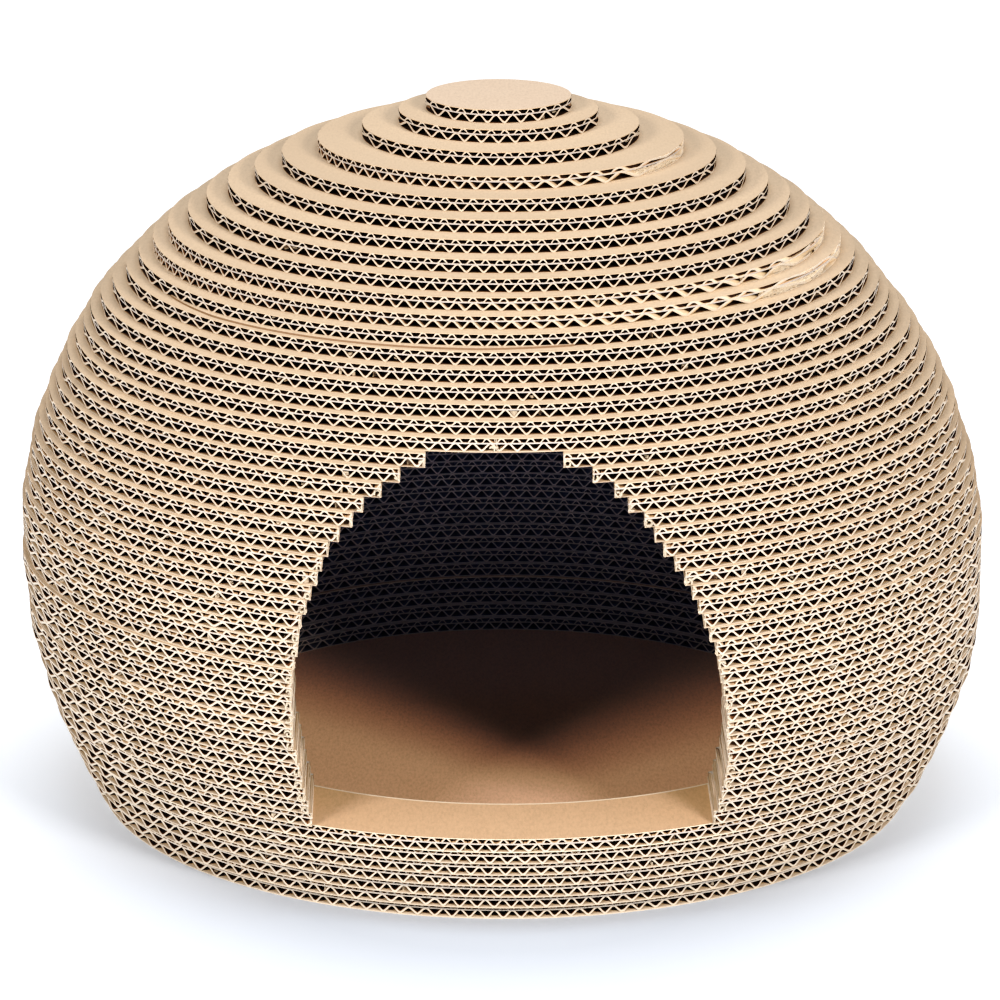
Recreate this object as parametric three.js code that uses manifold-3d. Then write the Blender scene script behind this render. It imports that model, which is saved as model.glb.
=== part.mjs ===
// A dome-shaped cat house: flat layers of double-wall corrugated cardboard glued one on another.
// Sizes are in millimetres. The house stands on Z = 0 and its doorway opens towards -Y.
// Layers are counted from the top, as they are seen from above.
import * as THREE from "three";
import { mergeVertices } from "three/addons/utils/BufferGeometryUtils.js";
import Module from "manifold-3d";

// The board that every layer is cut from: paper, small flutes, paper, large flutes, paper.
const layerThickness = 6.6;
const paperThickness = 0.4;
const smallFluteHeight = 1.9;
const smallFlutePitch = 6.6;
const largeFlutePitch = 7.9;

// How many layers there are of each kind.
const roofLayers = 4;
const wallLayers = 45;
const floorLayers = 3;
const layersAboveDoor = 18;
const sillLayers = 7;
const flutedLayers = 3;

// The outside of the dome. It is widest at one height, and curves in above and below it.
// The upper curve closes a little under the top of the house, the lower one far below its foot.
const domeRadius = 235;
const domeWidestHeight = 117;
const crownDepth = 8.2;
const footDepth = 129;
const riseExponent = 2.04;
const dropExponent = 1.79;

// The two discs that cap the dome are cut to sizes of their own.
const topDiscRadius = 35;
const secondDiscRadius = 48;

// The board left between the outside of a ring and the chamber inside.
const wallWidth = 47;

// The doorway is an upright ellipse that the sill cuts off, with cheeks square to the front.
// It closes in the middle of the last whole layer above it.
const doorHalfWidth = 98.5;
const doorWidestHeight = 97;

// How far a flat side may fall short of the true circle, outside and inside.
const outerSag = 0.75;
const innerSag = 1.5;
const fewestSides = 24;
const quarters = 4;

// The part of a roof disc's radius over which open flutes are cut.
const flutedShare = 0.95;

const cardboardColour = 0xe0be94;
const cardboardRoughness = 0.95;

const layerCount = roofLayers + wallLayers + floorLayers;
const largeFluteHeight = layerThickness - smallFluteHeight - 3 * paperThickness;
const domeRise = layerCount * layerThickness - crownDepth - domeWidestHeight;
const domeDrop = domeWidestHeight + footDepth;
const doorHalfHeight = middleOf(layersAboveDoor) - doorWidestHeight;

const wasm = await Module();
wasm.setup();

// The height of a layer's underside.
function undersideOf(layer) {
  return (layerCount - layer) * layerThickness;
}

function middleOf(layer) {
  return undersideOf(layer) + layerThickness / 2;
}

// The outer radius of the dome at a height, from one curve above the widest height and one below.
function domeRadiusAt(height) {
  const up = height > domeWidestHeight;
  const reach = up ? domeRise : domeDrop;
  const exponent = up ? riseExponent : dropExponent;
  const share = Math.abs(height - domeWidestHeight) / reach;
  return domeRadius * Math.pow(Math.max(1 - Math.pow(share, exponent), 0), 1 / exponent);
}

function outerRadiusOf(layer) {
  if (layer === 1) return topDiscRadius;
  if (layer === 2) return secondDiscRadius;
  return domeRadiusAt(middleOf(layer));
}

// Half the doorway's width in a layer, or zero above the doorway and in the sill.
function doorwayOf(layer) {
  if (layer <= layersAboveDoor || layer > layerCount - sillLayers) return 0;
  const share = (middleOf(layer) - doorWidestHeight) / doorHalfHeight;
  return doorHalfWidth * Math.sqrt(1 - share * share);
}

// The number of sides that keeps a circle within the sag, a multiple of four.
function sidesOf(radius, sag, fewest) {
  const sides = Math.PI / Math.acos(1 - sag / radius);
  return quarters * Math.round(Math.max(sides, fewest) / quarters);
}

// Points along an arc about the middle of the layer, both ends included.
function arcPoints(radius, from, to, fullSides) {
  const turn = (to - from) / (2 * Math.PI);
  const arc = new THREE.EllipseCurve(0, 0, radius, radius, from, to);
  return arc.getPoints(Math.max(1, Math.round(turn * fullSides)));
}

// The circle without its front, from one cheek of the doorway round the back to the other.
function openArcPoints(radius, halfWidth, sides) {
  const turn = Math.asin(halfWidth / radius);
  const right = arcPoints(radius, turn - Math.PI / 2, 0, sides);
  const back = arcPoints(radius, 0, Math.PI, sides);
  const left = arcPoints(radius, Math.PI, 1.5 * Math.PI - turn, sides);
  return [...right, ...back.slice(1, -1), ...left];
}

function circlePoints(radius, sides) {
  return arcPoints(radius, 0, 2 * Math.PI, sides).slice(0, -1);
}

function discOutline(radius) {
  return new THREE.Shape(circlePoints(radius, sidesOf(radius, outerSag, fewestSides)));
}

function ringOutline(radius) {
  const outline = discOutline(radius);
  const inner = radius - wallWidth;
  outline.holes.push(new THREE.Path(circlePoints(inner, sidesOf(inner, innerSag, fewestSides / 2))));
  return outline;
}

// A ring with the doorway cut out of its front: two arcs joined by the two straight cheeks.
function doorRingOutline(radius, halfWidth) {
  const inner = radius - wallWidth;
  const outerArc = openArcPoints(radius, halfWidth, sidesOf(radius, outerSag, fewestSides));
  const innerArc = openArcPoints(inner, halfWidth, sidesOf(inner, innerSag, fewestSides / 2));
  return new THREE.Shape([...outerArc, ...innerArc.reverse()]);
}

function slab(outline) {
  return new THREE.ExtrudeGeometry(outline, { depth: layerThickness, bevelEnabled: false });
}

// The open channels on both sides of one zigzag sheet, which runs between two heights.
function channelOutlines(reach, pitch, bottom, height) {
  const halfPitch = pitch / 2;
  const upright = (paperThickness * Math.hypot(halfPitch, height)) / halfPitch;
  const inset = ((upright / 2) * halfPitch) / height;
  const count = Math.floor(reach / halfPitch);
  const outlines = [];
  for (let step = -count; step < count; step++) {
    const left = step * halfPitch - halfPitch / 2;
    const pointsUp = step % 2 === 0;
    const flat = pointsUp ? bottom : bottom + height;
    const tip = pointsUp ? bottom + height - upright / 2 : bottom + upright / 2;
    outlines.push(
      new THREE.Shape([
        new THREE.Vector2(left + inset, flat),
        new THREE.Vector2(left + pitch - inset, flat),
        new THREE.Vector2(left + halfPitch, tip),
      ]),
    );
  }
  return outlines;
}

// A closed body from a geometry, for cutting.
function solidFrom(geometry) {
  const bare = geometry.clone();
  bare.deleteAttribute("normal");
  bare.deleteAttribute("uv");
  const merged = mergeVertices(bare);
  return new wasm.Manifold(
    new wasm.Mesh({
      numProp: 3,
      vertProperties: merged.getAttribute("position").array,
      triVerts: new Uint32Array(merged.index.array),
    }),
  );
}

function geometryFrom(solid) {
  const mesh = solid.getMesh();
  const geometry = new THREE.BufferGeometry();
  geometry.setAttribute("position", new THREE.BufferAttribute(mesh.vertProperties, 3));
  geometry.setIndex(new THREE.BufferAttribute(mesh.triVerts, 1));
  geometry.computeVertexNormals();
  return geometry;
}

// A disc with both sets of flutes running through it from front to back.
function flutedDisc(radius) {
  const reach = radius * flutedShare;
  const largeBottom = paperThickness;
  const smallBottom = largeBottom + largeFluteHeight + paperThickness;
  const outlines = [
    ...channelOutlines(reach, largeFlutePitch, largeBottom, largeFluteHeight),
    ...channelOutlines(reach, smallFlutePitch, smallBottom, smallFluteHeight),
  ];
  const length = 3 * radius;
  const channels = new THREE.ExtrudeGeometry(outlines, { depth: length, bevelEnabled: false });
  channels.rotateX(Math.PI / 2);
  channels.translate(0, length / 2, 0);
  return geometryFrom(solidFrom(slab(discOutline(radius))).subtract(solidFrom(channels)));
}

const cardboard = new THREE.MeshStandardMaterial({
  color: cardboardColour,
  roughness: cardboardRoughness,
  metalness: 0,
});

function layerGeometry(layer) {
  const radius = outerRadiusOf(layer);
  if (layer <= flutedLayers) return flutedDisc(radius);
  if (layer <= roofLayers) return slab(discOutline(radius));
  if (layer > layerCount - floorLayers) return slab(discOutline(radius));
  const halfWidth = doorwayOf(layer);
  return slab(halfWidth > 0 ? doorRingOutline(radius, halfWidth) : ringOutline(radius));
}

function kindOf(layer) {
  if (layer <= roofLayers) return "roof";
  if (layer > layerCount - floorLayers) return "floor";
  return "wall";
}

const catHouse = new THREE.Group();
catHouse.name = "cat_house";
for (const kind of ["roof", "wall", "floor"]) {
  const group = new THREE.Group();
  group.name = kind;
  for (let layer = 1; layer <= layerCount; layer++) {
    if (kindOf(layer) !== kind) continue;
    const mesh = new THREE.Mesh(layerGeometry(layer), cardboard);
    mesh.name = `layer_${String(layer).padStart(2, "0")}_${kind}`;
    mesh.position.z = undersideOf(layer);
    group.add(mesh);
  }
  catHouse.add(group);
}

export default catHouse;
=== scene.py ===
import math

import bpy
import numpy as np
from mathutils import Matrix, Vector


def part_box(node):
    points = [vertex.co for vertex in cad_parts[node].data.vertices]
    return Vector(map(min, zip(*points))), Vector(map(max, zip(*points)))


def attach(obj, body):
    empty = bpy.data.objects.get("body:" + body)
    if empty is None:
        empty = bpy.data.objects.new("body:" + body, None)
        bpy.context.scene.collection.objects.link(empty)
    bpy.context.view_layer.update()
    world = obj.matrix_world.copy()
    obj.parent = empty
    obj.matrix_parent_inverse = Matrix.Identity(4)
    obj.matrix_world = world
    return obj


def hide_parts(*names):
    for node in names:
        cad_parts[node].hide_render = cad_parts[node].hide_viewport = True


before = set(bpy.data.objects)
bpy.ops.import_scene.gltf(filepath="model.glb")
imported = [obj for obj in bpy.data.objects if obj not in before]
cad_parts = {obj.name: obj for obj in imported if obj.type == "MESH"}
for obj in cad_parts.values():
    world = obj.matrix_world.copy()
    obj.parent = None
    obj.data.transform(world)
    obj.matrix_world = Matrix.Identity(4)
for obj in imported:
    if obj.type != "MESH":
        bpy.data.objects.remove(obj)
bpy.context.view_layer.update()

# The pile of boards, counted from the top, in metres as in the solids. The sill's layers are
# those below the doorway, the floor's ones among them.
LAYERS = 52
ROOF_LAYERS = 4
FLOOR_LAYERS = 3
SILL_LAYERS = 7
SILL_LAYER = LAYERS - SILL_LAYERS + 1
CHAMBER_FLOOR_LAYER = LAYERS - FLOOR_LAYERS + 1
LAYER = 0.0066
WALL_WIDTH = 0.047
DOOR_HALF_WIDTH = 0.0985
DOOR_WIDEST_HEIGHT = 0.097
DOOR_HALF_HEIGHT = 0.1307

# One board, from the bottom up: paper, large flutes, paper, small flutes, paper.
# The lowest paper shows ever thicker from the top of the pile to the ground.
LOW_PAPER_LAYERS = [1, 24, 34, 52]
LOW_PAPERS = [0.00006, 0.00010, 0.00034, 0.00042]
MIDDLE_HEIGHT = 0.00412
MIDDLE_PAPER = 0.00062
TOP_PAPER = 0.00034

# The zigzag sheets. Both are pressed into the middle paper, and the small one into the top paper.
LARGE_LIFT = 0.00006
TOP_OVERLAP = 0.00030
LARGE_SHEET = 0.00080
SMALL_SHEET = 0.00060
SMALL_PITCH = 0.0065
LARGE_PITCH = 0.0079

# One flute of each sheet: places along its pitch and the height share of the sheet there.
LARGE_WAVE = ([0.0, 0.10, 0.40, 0.5, 0.60, 0.90], [0.0, 0.11, 0.89, 1.0, 0.89, 0.11])
SMALL_WAVE = (
    [0.0, 0.14, 0.22, 0.30, 0.38, 0.5, 0.62, 0.70, 0.78, 0.86],
    [0.0, 0.0, 0.16, 0.54, 0.88, 1.0, 0.88, 0.54, 0.16, 0.0],
)

# The straight pieces of a paper's rim: their length, and the fewest of them round a small board.
RIM_STEP = 0.0016
FEWEST_RIM = 64

# How far a paper's cut stands back from the outline, and how it wavers, outside and in the chamber.
RIM_INSET = 0.00025
RIM_WOBBLE = 0.00018
RIM_WAVES = (23, 41, 67, 103)
BORE_INSET = 0.0002
BORE_WOBBLE = 0.00015
BORE_WAVES = (19, 37, 71)

# A whole disc's paper is a ring too, with a hole far too small to see.
DISC_CENTRE = 0.00002

# A sheet reaches this share of the radius to each side, and no facet beside a cut is narrower
# than this share of a flute. A sheet is thicker upwards where it is steep, up to a squared slope.
SHEET_SHARE = 0.9985
LEAST_FACET = 0.03
STEEPEST = 1.6

# How unevenly the saw left the ends of the flutes: set back, ragged, swayed aside and dipped.
# All stay a little inside the outline, and start a little outside the chamber.
END_INSET = 0.0004
END_RAGGED = 0.00012
END_SWAY = 0.00010
END_DIP = 0.00005
START_INSET = 0.0003
SHEET_INSET = 0.0002

# Bends and dents in the ends: one for each step of radius, their widths, sizes and limits. The
# outermost flutes stay unbent.
BEND_SPACING = 0.03
BEND_WIDTHS = (0.003, 0.012)
BEND_SIZE = 0.0004
MOST_BEND = 0.3
DENT_SHARE = 0.25
MOST_DENT = 0.6
UNBENT_SHARE = 0.97

# The board right above the doorway, whose lowest paper shows as a pale line.
LINTEL_LAYER = 18
LINTEL_PAPER = 0.0004

# A board under which a loose ply sticks out, its rim painted dark as the shade of the gap beneath: how far,
# how high its face lies, and over which degrees. It comes out and goes in over so many radians, and starts a
# little inside the rim.
PLY_LAYER = 12
PLY_REACH = 0.0039
PLY_THICKNESS = 0.0010
PLY_DEGREES = (-152, -78)
PLY_POINTS = 90
PLY_EASE = 0.25
PLY_OVERLAP = 0.001
PLY_INSET = 0.0004

# Boards whose flutes were laid askew, in degrees from the front-to-back line.
TURNED = {4: -27.0, 10: -19.0, 11: -28.0}

# Where their flutes run almost along the rim, the outermost sheet shows as a torn strip, in degrees.
TORN_STRIPS = {4: (-44, -17), 10: (-35, -29), 11: (-42, -21)}

# How far boards sit off the middle, in millimetres to the right, and how far they are turned.
LEAN_LAYERS = [1, 2, 3, 5, 11, 16, 19, 22, 26, 30, 34, 38, 42, 46, 49, 52]
LEAN_AMOUNTS = [-1.5, -1.3, 0.3, -0.6, -1.7, -2.6, -1.7, -1.2, -0.5, 0.4, 1.2, 2.0, 2.6, 3.0, 2.4, 1.9]
TWIST_LAYERS = [1, 19, 25, 30, 35, 40, 45, 52]
TWIST_DEGREES = [0.0, -0.3, -0.2, 0.25, 0.55, 0.8, 1.0, 0.8]

# Each board strays a little more by chance, in metres and degrees, and none reaches out further
# than the widest solid.
STRAY_SHIFT = 0.0004
STRAY_TWIST = 0.08
WIDEST = 0.2348

# How bent and crushed the cut flutes are, which grows towards the ground.
MESS_LAYERS = [1, 9, 14, 24, 34, 52]
MESS_SHARES = [0.25, 0.35, 0.4, 0.7, 1.0, 1.1]
TURNED_MESS = 0.85

# How deep the cut flutes are painted lit before the painted shade inside them, in millimetres. The boards
# lower down are painted lit deeper, and their cut edges paler.
LIT_LAYERS = [1, 12, 18, 26, 34, 45, 46, 47, 52]
LIT_DEPTHS = [3.0, 4.0, 6.0, 9.0, 12.0, 13.0, 9.0, 13.0, 14.0]

# No paper inside a board is painted lit less deep than this, in metres.
LEAST_LIT = 0.0007

# How much paler the cut edges are painted with each metre of painted lit depth, and their colour at the
# palest.
PALER_SHARE = 55.0
PALEST_EDGE = (0.78, 0.70, 0.58)
WHITE = (1.0, 1.0, 1.0)

# Single boards are darker by chance: the most of it, and the share of light that is left.
MOST_TONE = 0.5
TONE_SHARE = 0.80

# Papers near the chamber are painted in shade: a rim of each face, and the flutes to some depth, but not
# right beside the cheeks of the doorway. The sill's face has a pale rim instead, painted paler partly as a
# highlight.
LEDGE = 0.006
BORE_DEPTH = 0.02
CHEEK_DEPTH = 0.004
SILL_RIM = 0.0012
CHAMBER_SHADE = (0.12, 0.13, 0.17)

# How deep inside a board a place lies: partly straight from the rim, the rest along its flute.
# From a cheek only this share of the distance counts.
RADIAL_SHARE = 0.6
CHEEK_SHARE = 0.35

# A turned board's slanted flutes are painted lit deeper from a little left of the middle on: this painted
# light's growth with each metre to the right, and its share in the middle.
SLANT_LIGHT_GROWTH = 5.0
SLANT_LIGHT_MIDDLE = 0.35

# Scraps of torn paper: how many for each metre of a fully crushed rim, how wide, tall, deep and
# rough they are, how likely they sit in the large flutes, and the facets they are made of. Their
# ends below and above are frayed by a share of the roughness.
SCRAPS = 30.0
SCRAP_WIDTHS = (0.0007, 0.0034)
SCRAP_TALLS = (0.3, 1.0)
MOST_RECESS = 0.0022
LARGE_CHANCE = 0.6
SCRAP_ROUGH = 0.0011
SCRAP_STEP = 0.0011
SCRAP_ROWS = 5
SCRAP_INSET = 0.0001
FRAY_LOW = 0.4
FRAY_HIGH = 0.6

# The thickness of any torn paper.
PAPER_SHEET = 0.0003

# Strips of paper that close a board at the far left and right, where flutes run along the rim, painted dark
# as the shade in those flutes:
# how far they reach to each side in degrees, how deep they sit and how coarse they are.
SIDE_DEGREES = (3.3, 5.6)
SIDE_RECESS = 0.0003
SIDE_ROUGH = 0.0007
SIDE_STEP = 0.0028
SIDE_ROWS = 3

# The same for the torn outermost sheet of a turned board.
TORN_RECESS = 0.0002
TORN_ROUGH = 0.0013

# The crumpled paper along a cheek, the loose ends curled at its corner, and the torn paper beside
# it, which some corners go without.
CHEEK_STEP = 0.0022
CHEEK_ROWS = 4
CHEEK_INSET = 0.0001
CHEEK_CRUMPLE = 0.0005
CHEEK_FRONT = 0.0006
CHEEK_BACK = 0.0004
CURL_SHARES = (0.28, 0.46)
CURL_BENDS = (2.4, 4.0)
CURL_POINTS = 9
CURL_INSET = 0.0002
CURL_SHEET = 0.0006
CURL_LENGTH = 0.003
CURL_FRONT = 0.0004
MOST_CURLS = 2
BARE_CHANCE = 0.6
CORNER_WIDTHS = (0.0006, 0.0022)
CORNER_TALLS = (0.6, 1.0)
CORNER_INSET = 0.0002
CORNER_RECESS = 0.0001
CORNER_ROUGH = 0.0008

# Where the random draws of each board, of its scraps and of its sides start.
BOARD_SEED = 1000
SCRAP_SEED = 7000
SIDE_SEED = 8000

# Stands for the radius of a chamber or the half width of a doorway that a board hasn't got.
NO_CUT = -1.0

# Places nearer to each other than this are the same.
TINY = 1e-9


def node_name(layer):
    """The name of a board's solid."""
    if layer <= ROOF_LAYERS:
        kind = "roof"
    elif layer > LAYERS - FLOOR_LAYERS:
        kind = "floor"
    else:
        kind = "wall"
    return f"layer_{layer:02d}_{kind}"


def doorway_of(layer, low):
    """Half the doorway's width in a board, or zero where it isn't cut."""
    if layer > LAYERS - SILL_LAYERS:
        return 0.0
    share = (low + LAYER / 2 - DOOR_WIDEST_HEIGHT) / DOOR_HALF_HEIGHT
    return DOOR_HALF_WIDTH * math.sqrt(max(1 - share * share, 0.0))


# Node materials

# How fibres are stretched out of even noise, as scales along X, Y and Z.
FIBRES = (1.0, 0.25, 1.0)
LONG_FIBRES = (1.0, 0.3, 1.0)


def new_material(name):
    made = bpy.data.materials.new(name)
    made.use_nodes = True
    tree = made.node_tree
    shader = tree.nodes["Principled BSDF"]
    shader.inputs["Metallic"].default_value = 0.0
    return made, tree, shader


def add(tree, kind, **values):
    """A new node, with values for its inputs or its own settings."""
    node = tree.nodes.new(kind)
    for name, value in values.items():
        if name in node.inputs:
            node.inputs[name].default_value = value
        else:
            setattr(node, name, value)
    return node


def attribute(tree, name, output="Fac"):
    return add(tree, "ShaderNodeAttribute", attribute_name=name).outputs[output]


def split(tree, vector):
    node = tree.nodes.new("ShaderNodeSeparateXYZ")
    tree.links.new(vector, node.inputs[0])
    return node.outputs["X"], node.outputs["Y"], node.outputs["Z"]


def noise(tree, place, scale, detail=3.0, roughness=0.55):
    node = add(tree, "ShaderNodeTexNoise", Scale=scale, Detail=detail, Roughness=roughness)
    tree.links.new(place, node.inputs["Vector"])
    return node.outputs["Fac"]


def ramp(tree, value, stops):
    node = tree.nodes.new("ShaderNodeValToRGB")
    spots = node.color_ramp.elements
    while len(spots) < len(stops):
        spots.new(0.5)
    for spot, (at, colour) in zip(spots, stops):
        spot.position = at
        spot.color = (*colour, 1.0)
    tree.links.new(value, node.inputs["Fac"])
    return node.outputs["Color"]


def mix(tree, share, first, second, blend="MIX"):
    """Two colours mixed by a share, each of the three a socket or a plain value."""
    node = tree.nodes.new("ShaderNodeMix")
    node.data_type = "RGBA"
    node.blend_type = blend
    for socket, value in (("Factor_Float", share), ("A_Color", first), ("B_Color", second)):
        target = next(s for s in node.inputs if s.identifier == socket)
        if hasattr(value, "is_linked"):
            tree.links.new(value, target)
        elif isinstance(value, tuple):
            target.default_value = (*value, 1.0)
        else:
            target.default_value = value
    return next(s for s in node.outputs if s.identifier == "Result_Color")


def sums(tree, how, first, second=0.0, clamp=False):
    """One step of arithmetic between two values, each of them a socket or a number."""
    node = tree.nodes.new("ShaderNodeMath")
    node.operation = how
    node.use_clamp = clamp
    for target, value in zip(node.inputs, (first, second)):
        if hasattr(value, "is_linked"):
            tree.links.new(value, target)
        else:
            target.default_value = value
    return node.outputs[0]


def stretched(tree, place, scale):
    node = tree.nodes.new("ShaderNodeMapping")
    node.inputs["Scale"].default_value = scale
    tree.links.new(place, node.inputs["Vector"])
    return node.outputs["Vector"]


def paper_height(tree, place):
    """The height of a paper's fibres and its soft unevenness."""
    fibres = noise(tree, stretched(tree, place, FIBRES), scale=1600.0, detail=4.0)
    blotches = noise(tree, place, scale=260.0)
    return sums(tree, "ADD", fibres, sums(tree, "MULTIPLY", blotches, 0.6))


def bump(tree, shader, height, strength, distance):
    node = add(tree, "ShaderNodeBump", Strength=strength, Distance=distance)
    tree.links.new(height, node.inputs["Height"])
    tree.links.new(node.outputs["Normal"], shader.inputs["Normal"])


def kraft_face(name, base, tint, grit=1.0):
    """Flat kraft paper: fine fibres, soft blotches and the faint ribs of the flutes below.

    More grit makes its fibres stand out more."""
    made, tree, shader = new_material(name)
    place = tree.nodes.new("ShaderNodeTexCoord").outputs["Object"]
    grain = noise(tree, stretched(tree, place, LONG_FIBRES), scale=900.0, detail=5.0, roughness=0.65)
    cloud = noise(tree, place, scale=38.0, detail=4.0, roughness=0.6)
    speck = noise(tree, place, scale=1500.0, detail=2.0, roughness=0.5)
    darker = tuple(c * (1 - 0.14 * grit) for c in base)
    lighter = tuple(min(c * (1 + 0.09 * grit), 1.0) for c in base)
    colour = ramp(tree, grain, [(0.32, darker), (0.52, base), (0.72, lighter)])
    colour = mix(tree, sums(tree, "MULTIPLY", cloud, 0.45), colour, tint)
    flecks = sums(tree, "GREATER_THAN", speck, 0.70)
    colour = mix(tree, sums(tree, "MULTIPLY", flecks, 0.20), colour, tuple(c * 0.55 for c in base))
    colour = mix(tree, attribute(tree, "tone"), colour, tuple(c * TONE_SHARE for c in base))
    tree.links.new(colour, shader.inputs["Base Color"])
    ribs = add(tree, "ShaderNodeTexWave", Scale=1.0, Distortion=0.6)
    ribs.bands_direction = "X"
    tree.links.new(stretched(tree, place, (0.5 / LARGE_PITCH,) * 3), ribs.inputs["Vector"])
    ribs = sums(tree, "MULTIPLY", ribs.outputs["Fac"], 0.5)
    bump(tree, shader, sums(tree, "ADD", paper_height(tree, place), ribs), strength=0.35, distance=0.00012)
    rough = sums(tree, "ADD", sums(tree, "MULTIPLY", grain, 0.15), 0.80)
    tree.links.new(rough, shader.inputs["Roughness"])
    shader.inputs["Specular IOR Level"].default_value = 0.2
    return made


def cut_edge(name, base, dark):
    """The sawn edge of the papers: pale torn fibres with small dark nicks, painted paler the deeper the
    board's painted lit depth.
    """
    made, tree, shader = new_material(name)
    place = tree.nodes.new("ShaderNodeTexCoord").outputs["Object"]
    torn = noise(tree, place, scale=1300.0, detail=4.0, roughness=0.7)
    patch = noise(tree, place, scale=210.0, roughness=0.6)
    lighter = tuple(min(c * 1.06, 1.0) for c in base)
    colour = ramp(tree, torn, [(0.28, dark), (0.46, base), (0.75, lighter)])
    colour = mix(tree, sums(tree, "MULTIPLY", patch, 0.22), colour, dark)
    paler = sums(tree, "SUBTRACT", attribute(tree, "painted_lit_depth"), LIT_DEPTHS[0] / 1000)
    paler = sums(tree, "MULTIPLY", paler, PALER_SHARE, clamp=True)
    colour = mix(tree, paler, colour, PALEST_EDGE)
    tree.links.new(colour, shader.inputs["Base Color"])
    bump(tree, shader, torn, strength=0.5, distance=0.0002)
    rough = sums(tree, "ADD", sums(tree, "MULTIPLY", torn, 0.1), 0.86)
    tree.links.new(rough, shader.inputs["Roughness"])
    shader.inputs["Specular IOR Level"].default_value = 0.15
    return made


def flute_paper(name, pale, brown, deep, still, lit, turned):
    """The papers inside the board, painted brown and dark a few millimetres in from any cut: painted shade
    inside the flutes.

    That depth is one still length, a share of the board's painted lit depth and more on a turned board."""
    made, tree, shader = new_material(name)
    place = attribute(tree, "place", "Vector")
    x, y, _ = split(tree, place)
    rim, bore, half_doorway = split(tree, attribute(tree, "cut", "Vector"))
    askew = attribute(tree, "askew")
    x_squared = sums(tree, "MULTIPLY", x, x)
    reach = sums(tree, "SQRT", sums(tree, "ADD", x_squared, sums(tree, "MULTIPLY", y, y)))
    from_rim = sums(tree, "SUBTRACT", rim, reach)
    from_bore = sums(tree, "SUBTRACT", reach, bore)
    # How far in from the cut ends of its own flute, which runs along Y.
    chord = sums(tree, "SUBTRACT", sums(tree, "POWER", rim, 2.0), x_squared)
    chord = sums(tree, "SQRT", sums(tree, "MAXIMUM", chord, 0.0))
    along = sums(tree, "SUBTRACT", chord, sums(tree, "ABSOLUTE", y))
    # How far from a cheek. The one metre more at the back keeps it out of the way there.
    from_cheek = sums(tree, "SUBTRACT", sums(tree, "ABSOLUTE", x), half_doorway)
    from_cheek = sums(tree, "ADD", from_cheek, sums(tree, "GREATER_THAN", y, 0.0))
    from_cheek = sums(tree, "ABSOLUTE", from_cheek)
    radial = sums(tree, "ADD", sums(tree, "MULTIPLY", askew, 1 - RADIAL_SHARE), RADIAL_SHARE)
    nearer = sums(tree, "MULTIPLY", radial, sums(tree, "SUBTRACT", from_rim, along))
    depth = sums(tree, "ADD", along, nearer)
    depth = sums(tree, "MINIMUM", depth, sums(tree, "MULTIPLY", from_cheek, CHEEK_SHARE))
    # A turned board's flutes are painted lit deeper, more and more to the right: painted light on the slanted
    # sheets.
    rightwards = sums(tree, "MULTIPLY", x, SLANT_LIGHT_GROWTH)
    rightwards = sums(tree, "ADD", rightwards, SLANT_LIGHT_MIDDLE, clamp=True)
    askew = sums(tree, "MULTIPLY", askew, rightwards)
    lit_depth = sums(tree, "ADD", sums(tree, "MULTIPLY", attribute(tree, "painted_lit_depth"), lit), still)
    lit_depth = sums(tree, "MAXIMUM", lit_depth, LEAST_LIT)
    lit_depth = sums(tree, "ADD", lit_depth, sums(tree, "MULTIPLY", askew, turned))
    share = sums(tree, "DIVIDE", depth, lit_depth, clamp=True)
    fibres = noise(tree, stretched(tree, place, FIBRES), scale=1200.0, detail=4.0)
    pale = ramp(tree, fibres, [(0.3, tuple(c * 0.85 for c in pale)), (0.7, pale)])
    # Painted shade: white at the cut, then brown and dark; a turned board's slanted sheets are painted lit
    # cream before they turn dark.
    darkest = tuple(c * 0.3 for c in deep)
    shade = ramp(tree, share, [(0.0, WHITE), (0.25, brown), (0.6, deep), (1.0, darkest)])
    slanted = [(0.0, WHITE), (0.48, (0.94, 0.88, 0.76)), (0.62, deep), (1.0, deep)]
    shade = mix(tree, askew, shade, ramp(tree, share, slanted))
    colour = mix(tree, 1.0, pale, shade, "MULTIPLY")
    # Painted shade near the chamber, but not beside the cheeks of the doorway.
    inside = sums(tree, "LESS_THAN", from_bore, BORE_DEPTH)
    inside = sums(tree, "MULTIPLY", inside, sums(tree, "GREATER_THAN", from_cheek, CHEEK_DEPTH))
    colour = mix(tree, inside, colour, CHAMBER_SHADE)
    tree.links.new(colour, shader.inputs["Base Color"])
    bump(tree, shader, fibres, strength=0.4, distance=0.0001)
    shader.inputs["Roughness"].default_value = 0.95
    shader.inputs["Specular IOR Level"].default_value = 0.1
    return made


# Copies of one kraft for the treads, the sill, the chamber floor and the top disc, each tuned in colour for
# the light it gets: the floor painted brighter and oranger than the treads, the sill more saturated.
FACE = kraft_face("kraft_face", (0.62, 0.468, 0.316), (0.67, 0.522, 0.37))
SILL_FACE = kraft_face("kraft_sill", (0.648, 0.428, 0.257), (0.70, 0.473, 0.30), grit=1.6)
FLOOR_FACE = kraft_face("kraft_inside", (0.79, 0.495, 0.325), (0.85, 0.55, 0.38), grit=1.8)
# The undersides of the papers, painted dark as shade.
UNDER = kraft_face("kraft_underside_painted_shade", (0.23, 0.145, 0.09), (0.29, 0.19, 0.13))
TOP_FACE = kraft_face("kraft_top_disc", (0.635, 0.487, 0.357), (0.685, 0.548, 0.417))
EDGE = cut_edge("cut_paper_edge", (0.56, 0.42, 0.28), (0.42, 0.31, 0.21))
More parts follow.
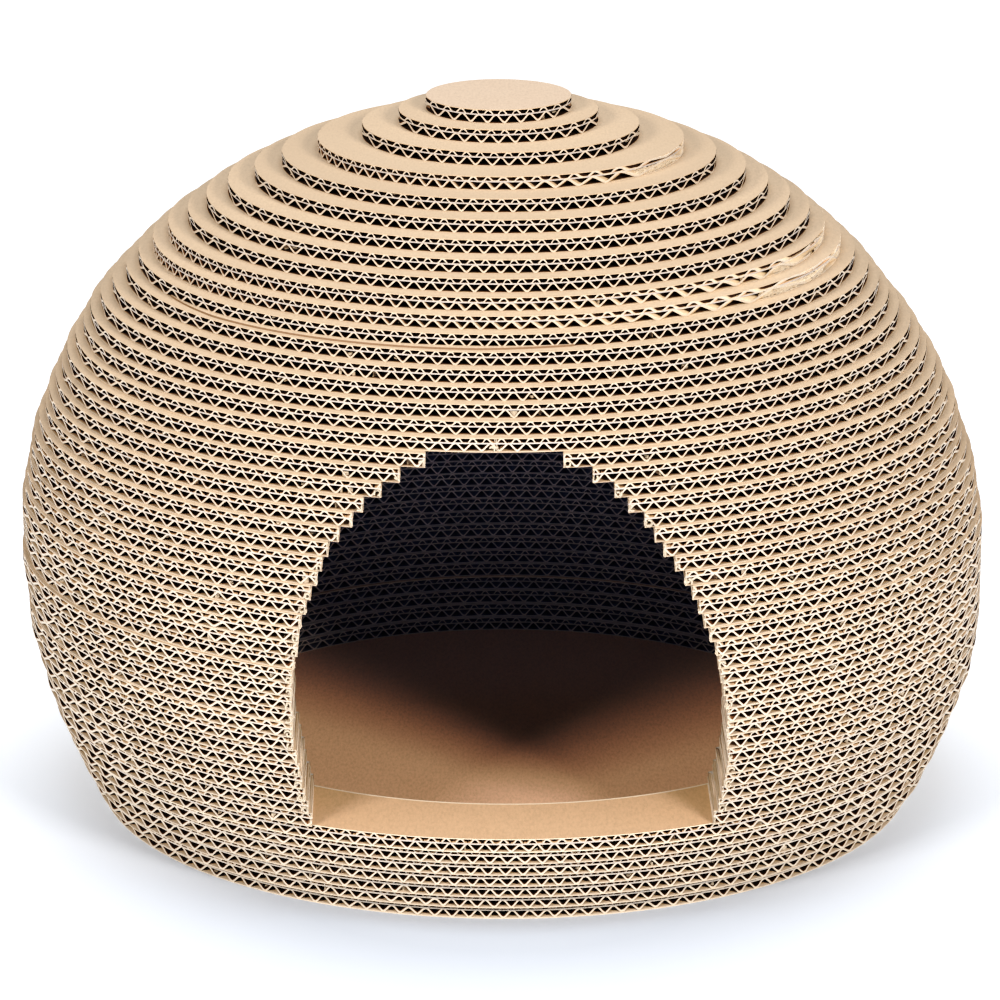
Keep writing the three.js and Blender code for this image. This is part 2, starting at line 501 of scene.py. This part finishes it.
# The sill's cut edges and rim: torn paper, painted paler than the other cut edges partly as a highlight.
SILL_EDGE = cut_edge("cut_sill_edge", (0.92, 0.78, 0.56), (0.70, 0.55, 0.38))
MIDDLE_EDGE = cut_edge("cut_middle_edge", (0.49, 0.46, 0.44), (0.31, 0.26, 0.23))
CORE = cut_edge("cut_flute_edge", (0.63, 0.555, 0.46), (0.44, 0.34, 0.25))
# The papers' faces round the chamber, painted grey as shade.
BORE = cut_edge("chamber_edge_painted_shade", (0.44, 0.44, 0.47), (0.24, 0.23, 0.24))
TORN = cut_edge("torn_paper", (0.61, 0.53, 0.41), (0.36, 0.27, 0.19))

# The papers inside the boards, each painted with shade in from the cuts: the large flutes, the small ones,
# the lowest paper's upper face, and the upper side of the small flutes.
FLUTE = flute_paper(
    "flute_paper",
    pale=(0.86, 0.73, 0.56),
    brown=(0.28, 0.165, 0.105),
    deep=(0.03, 0.016, 0.012),
    still=0.0026,
    lit=0.0,
    turned=0.003,
)
SMALL = flute_paper(
    "small_flute_paper",
    pale=(0.84, 0.66, 0.50),
    brown=(0.40, 0.26, 0.18),
    deep=(0.04, 0.025, 0.02),
    still=0.0008,
    lit=0.1,
    turned=0.002,
)
INNER = flute_paper(
    "inner_paper",
    pale=(0.94, 0.82, 0.67),
    brown=(0.80, 0.66, 0.52),
    deep=(0.14, 0.08, 0.055),
    still=0.0,
    lit=1.0,
    turned=0.002,
)
VALLEY = flute_paper(
    "small_flute_valley",
    pale=(0.88, 0.74, 0.58),
    brown=(0.62, 0.48, 0.36),
    deep=(0.06, 0.035, 0.025),
    still=-0.0035,
    lit=0.9,
    turned=0.002,
)

# A board's materials and those of its scraps, each list with its slots in the same order.
MATERIALS = [FACE, EDGE, CORE, FLUTE, INNER, UNDER, BORE, MIDDLE_EDGE, SMALL, VALLEY]
FACE_SLOT, EDGE_SLOT, CORE_SLOT, FLUTE_SLOT, INNER_SLOT = range(5)
UNDER_SLOT, BORE_SLOT, MIDDLE_SLOT, SMALL_SLOT, VALLEY_SLOT = range(5, 10)
SCRAP_MATERIALS = [TORN, FACE, UNDER]
TORN_SLOT, PLY_SLOT, PLY_RIM_SLOT = range(3)
# The side strips share the ply rim's slot, the underside's painted shade.
SIDE_SLOT = PLY_RIM_SLOT


# Boards as meshes

class Builder:
    """Collects corners and four-sided faces with the material of each."""

    def __init__(self):
        self.points = []
        self.quads = []
        self.slots = []
        self.smooth = []
        self.count = 0

    def add_points(self, points):
        start = self.count
        self.points.append(points)
        self.count += len(points)
        return start

    def add_quads(self, quads, slot, smooth=False):
        if len(quads):
            self.quads.append(quads)
            self.slots.append(np.full(len(quads), slot, dtype=np.int32))
            self.smooth.append(np.full(len(quads), smooth))

    def build(self, name, cut, looks, shift, twist):
        """Makes the mesh, set off by the shift along X and turned about Z by the twist.

        Its materials read where each corner lay before that, where the board is cut, and the looks."""
        quads = np.concatenate(self.quads)
        used, quads = np.unique(quads, return_inverse=True)
        quads = quads.reshape(-1, 4)
        points = np.concatenate(self.points)[used]
        cosine, sine = math.cos(twist), math.sin(twist)
        x, y = points[:, 0] * cosine - points[:, 1] * sine, points[:, 0] * sine + points[:, 1] * cosine
        laid = np.stack([x + shift, y, points[:, 2]], 1)
        mesh = bpy.data.meshes.new(name)
        mesh.vertices.add(len(points))
        mesh.vertices.foreach_set("co", laid.astype(np.float32).ravel())
        mesh.loops.add(quads.size)
        mesh.loops.foreach_set("vertex_index", quads.astype(np.int32).ravel())
        mesh.polygons.add(len(quads))
        mesh.polygons.foreach_set("loop_start", np.arange(0, quads.size, 4, dtype=np.int32))
        slots = np.concatenate(self.slots)
        mesh.polygons.foreach_set("material_index", slots)
        mesh.update(calc_edges=True)
        mesh.polygons.foreach_set("use_smooth", np.concatenate(self.smooth))
        rim = mesh.attributes.new("cut", "FLOAT_VECTOR", "POINT")
        rim.data.foreach_set("vector", np.tile(np.array(cut, dtype=np.float32), len(points)))
        own = mesh.attributes.new("place", "FLOAT_VECTOR", "POINT")
        own.data.foreach_set("vector", points.astype(np.float32).ravel())
        for label, value in looks.items():
            whole = mesh.attributes.new(label, "FLOAT", "POINT")
            whole.data.foreach_set("value", np.full(len(points), value, dtype=np.float32))
        mesh.validate()
        made = bpy.data.objects.new(name, mesh)
        bpy.context.scene.collection.objects.link(made)
        return made


def waver(rng, angles, size, waves):
    """A smooth closed wobble round the rim, between about -size and size."""
    total = np.zeros_like(angles)
    for number in waves:
        total += rng.uniform(0.4, 1.0) * np.sin(number * angles + rng.uniform(0, 2 * math.pi))
    return size * total / len(waves)


def paper_rings(builder, rng, outline, low, high, slots, ledge):
    """One flat paper: a disc, a ring or a ring open at the doorway.

    A ledge is the width and the slot of a rim round the chamber in another material: painted shade, or the
    sill's pale rim."""
    radius, bore, half_width = outline
    top_slot, low_slot, rim_slot = slots
    outer_sides = max(FEWEST_RIM, int(radius / RIM_STEP))
    if half_width > 0:
        start = math.asin(half_width / radius)
        inner_start = math.asin(half_width / bore)
        share = np.linspace(0, 1, outer_sides + 1)
        outer_angle = -math.pi / 2 + start + share * (2 * math.pi - 2 * start)
        inner_angle = -math.pi / 2 + inner_start + share * (2 * math.pi - 2 * inner_start)
        closed = False
    else:
        share = np.arange(outer_sides) / outer_sides
        outer_angle = inner_angle = share * 2 * math.pi
        closed = True
    reach = radius - RIM_INSET + waver(rng, outer_angle, RIM_WOBBLE, RIM_WAVES)
    outer = np.stack([reach * np.cos(outer_angle), reach * np.sin(outer_angle)], 1)
    if bore > 0:
        inner_reach = bore + BORE_INSET + waver(rng, inner_angle, BORE_WOBBLE, BORE_WAVES)
    else:
        inner_reach = np.full(len(share), DISC_CENTRE)
    inner = np.stack([inner_reach * np.cos(inner_angle), inner_reach * np.sin(inner_angle)], 1)
    count = len(share)
    rings = []
    for flat, height in ((outer, high), (inner, high), (inner, low), (outer, low)):
        lift = np.full((count, 1), height)
        rings.append(builder.add_points(np.hstack([flat, lift])))
    step = np.arange(count if closed else count - 1)
    after = (step + 1) % count
    tops, inner_tops, inner_lows, lows = rings

    def band(first, second, slot):
        quads = np.stack([first + step, first + after, second + after, second + step], 1)
        builder.add_quads(quads, slot)

    # Faces round the chamber are painted grey as shade.
    bore_slot = BORE_SLOT
    if ledge:
        wide, bore_slot = ledge
        flat = inner * ((inner_reach + wide) / inner_reach)[:, None]
        middles = builder.add_points(np.hstack([flat, np.full((count, 1), high)]))
        band(tops, middles, top_slot)
        band(middles, inner_tops, bore_slot)
    else:
        band(tops, inner_tops, top_slot)
    band(inner_tops, inner_lows, bore_slot)
    band(inner_lows, lows, low_slot)
    band(lows, tops, rim_slot)
    if not closed:
        first = np.array([[tops, inner_tops, inner_lows, lows]])
        last = first[:, ::-1] + count - 1
        builder.add_quads(np.concatenate([first, last]), rim_slot)


def wave_samples(wave, pitch, phase, radius):
    """Places across the flutes, and the height share of the sheet there, from valley to crest."""
    shares, heights = (np.array(values) for values in wave)
    periods = np.arange(-int(radius / pitch) - 2, int(radius / pitch) + 3)
    across = (periods[:, None] + shares[None, :] + phase) * pitch
    return across.ravel(), np.tile(heights, len(periods))


def fluted_sheet(builder, rng, outline, low, height, pitch, thick, turn, mess, wave, slots):
    """One zigzag sheet, ruled along its flutes and cut to the outline of the layer."""
    radius, bore, half_width = outline
    places, levels = wave_samples(wave, pitch, rng.uniform(0, 1), radius)
    widest = radius * SHEET_SHARE
    stops = [-widest, widest]
    if bore > 0:
        stops += [-bore, bore]
    if half_width > 0:
        stops += [-half_width, half_width]
    across = np.unique(np.concatenate([places, stops]))
    across = across[np.abs(across) <= widest]
    keep = np.ones(len(across), bool)
    for stop in stops:
        keep &= (np.abs(across - stop) > pitch * LEAST_FACET) | (across == stop)
    across = across[keep]
    level = np.interp(across, places, levels)
    slope = np.gradient(level * height, across)
    half = thick / 2 * np.sqrt(1 + np.minimum(slope * slope, STEEPEST))
    middle = low + thick / 2 + level * (height - thick)
    outer = np.sqrt(np.maximum(radius**2 - across**2, 0))
    inner = np.sqrt(np.maximum(bore**2 - across**2, 0))
    cosine, sine = math.cos(turn), math.sin(turn)
    count = len(across)
    centres = (across[:-1] + across[1:]) / 2
    # The front half and the back half, each with the loose, uneven ends that the saw left.
    for side in (-1, 1):
        ragged = END_INSET + np.abs(rng.normal(0, END_RAGGED, count))
        sway = rng.normal(0, END_SWAY, count)
        dip = rng.normal(0, END_DIP, count)
        bend = np.zeros(count)
        dent = np.zeros(count)
        for _ in range(int(2 + radius / BEND_SPACING)):
            where = rng.uniform(-radius, radius)
            wide = rng.uniform(*BEND_WIDTHS)
            near = np.exp(-(((across - where) / wide) ** 2))
            bend += near * rng.normal(0, BEND_SIZE) * mess
            dent += near * rng.uniform(0, DENT_SHARE) * mess
        ends = np.maximum(outer - ragged, 0)
        shift = np.clip(sway + bend, -pitch * MOST_BEND, pitch * MOST_BEND)
        shift = np.where(np.abs(across) > radius * UNBENT_SHARE, 0, shift)
        left_over = 1 - np.minimum(dent, MOST_DENT)
        squeezed = low + height / 2 + (middle - low - height / 2) * left_over
        starts = inner + np.where(inner > 0, START_INSET, 0)
        columns = []
        for along, place, centre in (
            (ends, across + shift, squeezed + dip),
            (starts, across, middle),
        ):
            along = np.minimum(along, np.sqrt(np.maximum((radius - SHEET_INSET) ** 2 - place**2, 0)))
            along = side * along
            x = place * cosine - along * sine
            y = place * sine + along * cosine
            for lift in (half, -half):
                z = np.clip(centre + lift, low, low + height)
                columns.append(builder.add_points(np.stack([x, y, z], 1)))
        end_top, end_low, start_top, start_low = columns
        step = np.arange(count - 1)
        if half_width > 0 and side < 0:
            step = step[np.abs(centres) > half_width]

        def face(first, second, slot, step=step, smooth=False):
            quads = np.stack([first + step, first + step + 1, second + step + 1, second + step], 1)
            builder.add_quads(quads, slot, smooth)

        face(end_top, start_top, slots[0], smooth=True)
        face(start_low, end_low, slots[1], smooth=True)
        face(end_low, end_top, CORE_SLOT)
        # The ends in the chamber are painted grey as shade.
        if bore > 0:
            face(start_top, start_low, BORE_SLOT, step[np.abs(centres[step]) < bore])
        if half_width > 0 and side < 0:
            for at in np.flatnonzero(np.abs(np.abs(across) - half_width) < TINY):
                quad = [[end_top + at, end_low + at, start_low + at, start_top + at]]
                builder.add_quads(np.array(quad), CORE_SLOT)


# Where each board lies: its underside, radius, half doorway, shift and twist.
LAID = {}


def make_board(layer):
    """One board of three papers and two zigzag sheets, in the place of its solid."""
    node = node_name(layer)
    corner_low, corner_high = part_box(node)
    low = corner_low[2]
    radius = corner_high[1]
    ring = ROOF_LAYERS < layer <= LAYERS - FLOOR_LAYERS
    bore = radius - WALL_WIDTH if ring else 0.0
    half_width = doorway_of(layer, low) if ring else 0.0
    rng = np.random.default_rng(BOARD_SEED + layer)
    turn = math.radians(TURNED.get(layer, 0.0))
    shift = np.interp(layer, LEAN_LAYERS, LEAN_AMOUNTS) / 1000 + rng.normal(0, STRAY_SHIFT)
    twist = np.interp(layer, TWIST_LAYERS, TWIST_DEGREES) + rng.normal(0, STRAY_TWIST)
    twist = math.radians(twist)
    radius = min(radius, WIDEST - abs(shift))
    mess = TURNED_MESS if layer in TURNED else float(np.interp(layer, MESS_LAYERS, MESS_SHARES))
    paper_top = low + float(np.interp(layer, LOW_PAPER_LAYERS, LOW_PAPERS))
    large_low = low + LARGE_LIFT
    if layer == LINTEL_LAYER:
        paper_top = large_low = low + LINTEL_PAPER
    middle = low + MIDDLE_HEIGHT
    top_low = low + LAYER - TOP_PAPER
    # Each ring's face gets a rim of painted shade round the chamber, the sill's a pale rim.
    ledge = None
    if layer == SILL_LAYER:
        ledge = (SILL_RIM, EDGE_SLOT)
    elif ring:
        ledge = (LEDGE, BORE_SLOT)
    outline = (radius, bore, half_width)
    builder = Builder()
    for bottom, top, slots, rim in (
        (low, paper_top, (INNER_SLOT, UNDER_SLOT, EDGE_SLOT), None),
        (middle - MIDDLE_PAPER / 2, middle + MIDDLE_PAPER / 2, (SMALL_SLOT, FLUTE_SLOT, MIDDLE_SLOT), None),
        (top_low, low + LAYER, (FACE_SLOT, FLUTE_SLOT, EDGE_SLOT), ledge),
    ):
        paper_rings(builder, rng, outline, bottom, top, slots, rim)
    large_high = middle + LARGE_SHEET / 2
    small_low = middle - SMALL_SHEET / 2
    small_high = top_low + TOP_OVERLAP
    for bottom, top, pitch, thick, wave, slots in (
        (large_low, large_high, LARGE_PITCH, LARGE_SHEET, LARGE_WAVE, (FLUTE_SLOT, FLUTE_SLOT)),
        (small_low, small_high, SMALL_PITCH, SMALL_SHEET, SMALL_WAVE, (VALLEY_SLOT, SMALL_SLOT)),
    ):
        fluted_sheet(builder, rng, outline, bottom, top - bottom, pitch, thick, turn, mess, wave, slots)
    cut = (radius, bore if bore > 0 else NO_CUT, half_width if half_width > 0 else NO_CUT)
    looks = {
        "tone": rng.uniform(0, MOST_TONE),
        "painted_lit_depth": float(np.interp(layer, LIT_LAYERS, LIT_DEPTHS)) / 1000,
        "askew": float(layer in TURNED),
    }
    made = builder.build(f"board_{layer:02d}", cut, looks, shift, twist)
    LAID[layer] = (low, radius, half_width, shift, twist)
    for material in MATERIALS:
        made.data.materials.append(material)
    if layer == 1:
        made.data.materials[FACE_SLOT] = TOP_FACE
    if layer == SILL_LAYER:
        made.data.materials[FACE_SLOT] = SILL_FACE
        made.data.materials[EDGE_SLOT] = SILL_EDGE
    if layer == CHAMBER_FLOOR_LAYER:
        made.data.materials[FACE_SLOT] = FLOOR_FACE
    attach(made, "root")
    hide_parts(node)


# Torn and crushed paper along the cuts

def sheet_faces(front, back, columns, rows):
    """The faces of a thin paper on two grids of corners, without its edges."""
    quads = []
    for i in range(columns - 1):
        for j in range(rows - 1):
            a = i * rows + j
            b = a + rows
            quads.append([front + a, front + b, front + b + 1, front + a + 1])
            quads.append([back + a, back + a + 1, back + b + 1, back + b])
    return quads


def scrap(
    builder, rng, radius, ends, heights, recess, rough, rows=SCRAP_ROWS, step=SCRAP_STEP, slot=TORN_SLOT
):
    """A thin crumpled piece of paper that stands across the flutes just inside the rim."""
    start, end = ends
    low, high = heights
    columns = max(3, int((end - start) * radius / step))
    angle = np.linspace(start, end, columns)[:, None] * np.ones(rows)
    rise = np.linspace(0, 1, rows)[None, :] * np.ones((columns, 1))
    fray_low = rng.uniform(0, rough * FRAY_LOW, (columns, 1))
    fray_high = rng.uniform(0, rough * FRAY_HIGH, (columns, 1))
    z = low + fray_low + rise * (high - low - fray_low - fray_high)
    depth = recess + rough * rng.uniform(0, 1, (columns, rows))
    depth[0] += recess + rough
    depth[-1] += recess + rough
    grids = []
    for extra in (0.0, PAPER_SHEET):
        reach = radius - SCRAP_INSET - depth - extra
        grid = np.stack([reach * np.cos(angle), reach * np.sin(angle), z], 2)
        grids.append(builder.add_points(grid.reshape(-1, 3)))
    front, back = grids
    quads = sheet_faces(front, back, columns, rows)
    for i in range(columns - 1):
        a, b = i * rows, (i + 1) * rows
        quads.append([front + a, back + a, back + b, front + b])
        a, b = a + rows - 1, b + rows - 1
        quads.append([front + a, front + b, back + b, back + a])
    for j in range(rows - 1):
        quads.append([front + j, front + j + 1, back + j + 1, back + j])
        a = (columns - 1) * rows + j
        quads.append([front + a, back + a, back + a + 1, front + a + 1])
    builder.add_quads(np.array(quads), slot)


def loose_scraps(builder, rng, layer, radius, door_angle, large, small):
    """Scraps here and there along the rim, but not in the doorway."""
    amount = SCRAPS * float(np.interp(layer, MESS_LAYERS, MESS_SHARES))
    for _ in range(rng.poisson(amount * radius * 2 * math.pi)):
        angle = rng.uniform(-math.pi, math.pi)
        wide = rng.uniform(*SCRAP_WIDTHS)
        if abs(angle + math.pi / 2) < door_angle + wide / radius:
            continue
        bottom, top = large if rng.uniform() < LARGE_CHANCE else small
        tall = (top - bottom) * rng.uniform(*SCRAP_TALLS)
        bottom += (top - bottom - tall) * rng.uniform(0, 1)
        half = wide / radius / 2
        recess = rng.uniform(0.0, MOST_RECESS)
        ends = (angle - half, angle + half)
        scrap(builder, rng, radius, ends, (bottom, bottom + tall), recess, SCRAP_ROUGH)


def cheek(builder, rng, side, half_width, front, back, heights):
    """The crumpled paper along a cheek of the doorway, where the cut ran along the flutes."""
    low, high = heights
    columns = max(3, int((back - front) / CHEEK_STEP))
    rows = CHEEK_ROWS
    y = np.linspace(front, back, columns)[:, None] * np.ones(rows)
    z = low + np.linspace(0, 1, rows)[None, :] * (high - low) * np.ones((columns, 1))
    crumple = rng.uniform(0, CHEEK_CRUMPLE, (columns, rows))
    grids = []
    for extra in (0.0, PAPER_SHEET):
        x = side * (half_width + CHEEK_INSET + crumple + extra)
        grids.append(builder.add_points(np.stack([x, y, z], 2).reshape(-1, 3)))
    first, second = grids
    quads = sheet_faces(first, second, columns, rows)
    for j in range(rows - 1):
        quads.append([first + j, first + j + 1, second + j + 1, second + j])
    builder.add_quads(np.array(quads), TORN_SLOT)


def curl(builder, rng, side, half_width, front, heights):
    """A loose end of a flute at the doorway, bent round like a hook."""
    low, high = heights
    reach = (high - low) * rng.uniform(*CURL_SHARES)
    centre_z = rng.uniform(low + reach, high - reach)
    centre_x = half_width + CURL_INSET + reach
    start = rng.uniform(0, 2 * math.pi)
    bends = np.linspace(start, start + rng.uniform(*CURL_BENDS), CURL_POINTS)
    back = front + CURL_LENGTH
    lines = []
    for radius, y in ((reach, front), (reach - CURL_SHEET, front), (reach - CURL_SHEET, back), (reach, back)):
        x = side * (centre_x + radius * np.cos(bends))
        line = np.stack([x, np.full(len(bends), y), centre_z + radius * np.sin(bends)], 1)
        lines.append(builder.add_points(line))
    step = np.arange(len(bends) - 1)
    for a, b in zip(lines, lines[1:] + lines[:1]):
        builder.add_quads(np.stack([a + step, a + step + 1, b + step + 1, b + step], 1), TORN_SLOT)


def dress_cheeks(builder, rng, radius, half_width, door_angle, large, small):
    """Both cheeks of the doorway, with loose ends and torn paper at their corners."""
    front = -math.sqrt(radius**2 - half_width**2) + CHEEK_FRONT
    back = -math.sqrt((radius - WALL_WIDTH) ** 2 - half_width**2) - CHEEK_BACK
    for side in (-1, 1):
        cheek(builder, rng, side, half_width, front, back, large)
        cheek(builder, rng, side, half_width, front, back, small)
        for _ in range(rng.integers(0, MOST_CURLS + 1)):
            curl(builder, rng, side, half_width, front - CURL_FRONT, large)
        if rng.uniform() < BARE_CHANCE:
            continue
        wide = rng.uniform(*CORNER_WIDTHS)
        corner = -math.pi / 2 + side * (door_angle + CORNER_INSET / radius)
        ends = sorted((corner, corner + side * wide / radius))
        bottom, top = large
        tall = (top - bottom) * rng.uniform(*CORNER_TALLS)
        scrap(builder, rng, radius, ends, (bottom, bottom + tall), CORNER_RECESS, CORNER_ROUGH)


def close_sides(builder, rng, radius, large, small):
    """Plain paper at the far left and right, where the outermost flutes run along the rim, painted dark as
    the shade in those flutes.
    """
    for way in (0, math.pi):
        for heights in (large, small):
            before, after = np.radians(rng.uniform(*SIDE_DEGREES, 2))
            ends = (way - before, way + after)
            facets = (SIDE_ROWS, SIDE_STEP, SIDE_SLOT)
            scrap(builder, rng, radius, ends, heights, SIDE_RECESS, SIDE_ROUGH, *facets)


def loose_ply(builder, radius, low):
    """A thin paper that sticks out from under a board, its rim painted dark as the shade of the gap beneath.
    """
    angle = np.radians(np.linspace(*PLY_DEGREES, PLY_POINTS))
    ease = np.clip(np.minimum(angle - angle[0], angle[-1] - angle) / PLY_EASE, 0, 1)
    inner = np.full(len(angle), radius - PLY_OVERLAP)
    outer = radius + (PLY_REACH - PLY_INSET) * ease - PLY_INSET
    rows = []
    for reach, z in ((inner, low + PLY_THICKNESS), (outer, low + PLY_THICKNESS), (outer, low)):
        ring = np.stack([reach * np.cos(angle), reach * np.sin(angle), np.full(len(angle), z)], 1)
        rows.append(builder.add_points(ring))
    step = np.arange(len(angle) - 1)
    for a, b, slot in ((rows[0], rows[1], PLY_SLOT), (rows[1], rows[2], PLY_RIM_SLOT)):
        builder.add_quads(np.stack([a + step, b + step, b + step + 1, a + step + 1], 1), slot)


def dress_board(layer):
    """Scraps of one board, in its own axes, so that they sit on it however it lies."""
    low, radius, half_width, shift, twist = LAID[layer]
    rng = np.random.default_rng(SCRAP_SEED + layer)
    builder = Builder()
    large_high = low + MIDDLE_HEIGHT - MIDDLE_PAPER / 2
    large = (low + LARGE_LIFT, large_high)
    small = (large_high + MIDDLE_PAPER, low + LAYER - TOP_PAPER)
    door_angle = math.asin(half_width / radius) if half_width > 0 else 0.0
    if layer in TURNED:
        start, end = (math.radians(edge) for edge in TORN_STRIPS[layer])
        for turn in (0, math.pi):
            scrap(builder, rng, radius, (start + turn, end + turn), large, TORN_RECESS, TORN_ROUGH)
    if layer == PLY_LAYER:
        loose_ply(builder, radius, low)
    loose_scraps(builder, rng, layer, radius, door_angle, large, small)
    if half_width > 0:
        dress_cheeks(builder, rng, radius, half_width, door_angle, large, small)
    if layer not in TURNED:
        close_sides(builder, np.random.default_rng(SIDE_SEED + layer), radius, large, small)
    made = builder.build(f"scraps_{layer:02d}", (1.0, NO_CUT, NO_CUT), {"tone": 0.0}, shift, twist)
    for material in SCRAP_MATERIALS:
        made.data.materials.append(material)
    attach(made, "root")


for layer in range(1, LAYERS + 1):
    make_board(layer)
for layer in range(1, LAYERS + 1):
    dress_board(layer)


# The studio: a wide pale floor, two tall soft lamps in front and a dim sky

STUDIO_REACH = 30.0
STUDIO_COLOUR = (0.57, 0.645, 0.755, 1.0)

# The floor's glow grows between two distances from a place a little in front of the house.
GLOW_SHIFT = (0.0, 0.13, 0.0)
GLOW_START = 0.11
GLOW_END = 0.42
GLOW_STRENGTH = 0.95

LAMP_AIM = Vector((0, 0, 0.17))
WARM = (1.0, 0.90, 0.80)
COOL = (0.96, 1.0, 1.06)
CHAMBER_BLUE = (0.50, 0.72, 1.5)
CHAMBER_POWER = 0.06


def stage_floor():
    """A floor that glows away from the house, so that it reads as a white backdrop."""
    mesh = bpy.data.meshes.new("studio_floor")
    wide = STUDIO_REACH
    corners = [(-wide, -wide, 0), (wide, -wide, 0), (wide, wide, 0), (-wide, wide, 0)]
    mesh.from_pydata(corners, [], [(0, 1, 2, 3)])
    made = bpy.data.objects.new("studio_floor", mesh)
    bpy.context.scene.collection.objects.link(made)
    material, tree, shader = new_material("studio_floor")
    shader.inputs["Base Color"].default_value = STUDIO_COLOUR
    shader.inputs["Roughness"].default_value = 0.9
    shader.inputs["Specular IOR Level"].default_value = 0.1
    place = tree.nodes.new("ShaderNodeTexCoord").outputs["Object"]
    from_front = add(tree, "ShaderNodeMapping", Location=GLOW_SHIFT)
    far = tree.nodes.new("ShaderNodeVectorMath")
    far.operation = "LENGTH"
    tree.links.new(place, from_front.inputs["Vector"])
    tree.links.new(from_front.outputs["Vector"], far.inputs[0])
    spread = tree.nodes.new("ShaderNodeMapRange")
    spread.inputs["From Min"].default_value = GLOW_START
    spread.inputs["From Max"].default_value = GLOW_END
    spread.inputs["To Min"].default_value = 0.0
    spread.inputs["To Max"].default_value = GLOW_STRENGTH
    tree.links.new(far.outputs["Value"], spread.inputs["Value"])
    tree.links.new(spread.outputs["Result"], shader.inputs["Emission Strength"])
    shader.inputs["Emission Color"].default_value = (*WHITE, 1.0)
    mesh.materials.append(material)


def area_lamp(name, energy, colour):
    data = bpy.data.lights.new(name, "AREA")
    data.energy = energy
    data.color = colour
    made = bpy.data.objects.new(name, data)
    bpy.context.scene.collection.objects.link(made)
    return made, data


def lamp(name, azimuth, elevation, distance, wide, tall, power, colour=WARM):
    """A soft lamp that looks at the house, its azimuth counted from the front to the right."""
    made, data = area_lamp(name, power, colour)
    data.shape = "RECTANGLE"
    data.size = wide
    data.size_y = tall
    turn, rise = math.radians(azimuth), math.radians(elevation)
    way = Vector((math.sin(turn) * math.cos(rise), -math.cos(turn) * math.cos(rise), math.sin(rise)))
    made.location = LAMP_AIM + way * distance
    made.rotation_euler = (-way).to_track_quat("-Z", "Y").to_euler()


def chamber_glow():
    """A faint blue light on the back of the chamber, as the photograph's shadows have."""
    made, data = area_lamp("chamber_glow", CHAMBER_POWER, CHAMBER_BLUE)
    data.size = 0.08
    made.location = (0.0, -0.09, 0.19)
    made.rotation_euler = (math.radians(128), 0, 0)
    made.visible_camera = False


stage_floor()
lamp("lamp_left", azimuth=-34, elevation=26, distance=2.6, wide=0.70, tall=0.48, power=48.5)
lamp("lamp_right", azimuth=29.5, elevation=26, distance=2.6, wide=0.60, tall=0.48, power=57.5)
lamp("lamp_far_left", azimuth=-75, elevation=8, distance=2.6, wide=1.0, tall=0.9, power=5)
lamp("lamp_far_right", azimuth=75, elevation=8, distance=2.6, wide=1.0, tall=0.9, power=6)
lamp("lamp_above", azimuth=0, elevation=82, distance=1.7, wide=1.3, tall=1.3, power=20, colour=COOL)
chamber_glow()

world = bpy.data.worlds.new("studio_sky")
bpy.context.scene.world = world
world.use_nodes = True
sky = world.node_tree.nodes["Background"]
sky.inputs["Color"].default_value = (0.55, 0.70, 1.0, 1.0)
sky.inputs["Strength"].default_value = 0.06

# The camera: a long lens, a little above the house, turned down and aside by degrees

CAMERA_PLACE = (0.0, -2.3733, 0.8593)
CAMERA_DOWN = 16.847
CAMERA_TURN = 0.0113

camera_data = bpy.data.cameras.new("camera")
camera = bpy.data.objects.new("camera", camera_data)
bpy.context.scene.collection.objects.link(camera)
camera_data.sensor_width = 36.0
camera_data.lens = 182.45
camera.location = CAMERA_PLACE
camera.rotation_euler = (math.radians(90 - CAMERA_DOWN), 0, math.radians(CAMERA_TURN))
bpy.context.scene.camera = camera

# The photograph's contrast: deeper darks and brighter lights around an unchanged middle

CONTRAST = [(0.0060, 0.0030), (0.0508, 0.0290), (0.105, 0.0840), (0.179, 0.179)]
CONTRAST += [(0.296, 0.310), (0.539, 0.565), (0.807, 0.830)]

view = bpy.context.scene.view_settings
view.view_transform = "Standard"
view.use_curve_mapping = True
all_channels = view.curve_mapping.curves[3]
for before, after in CONTRAST:
    all_channels.points.new(before, after)
view.curve_mapping.update()
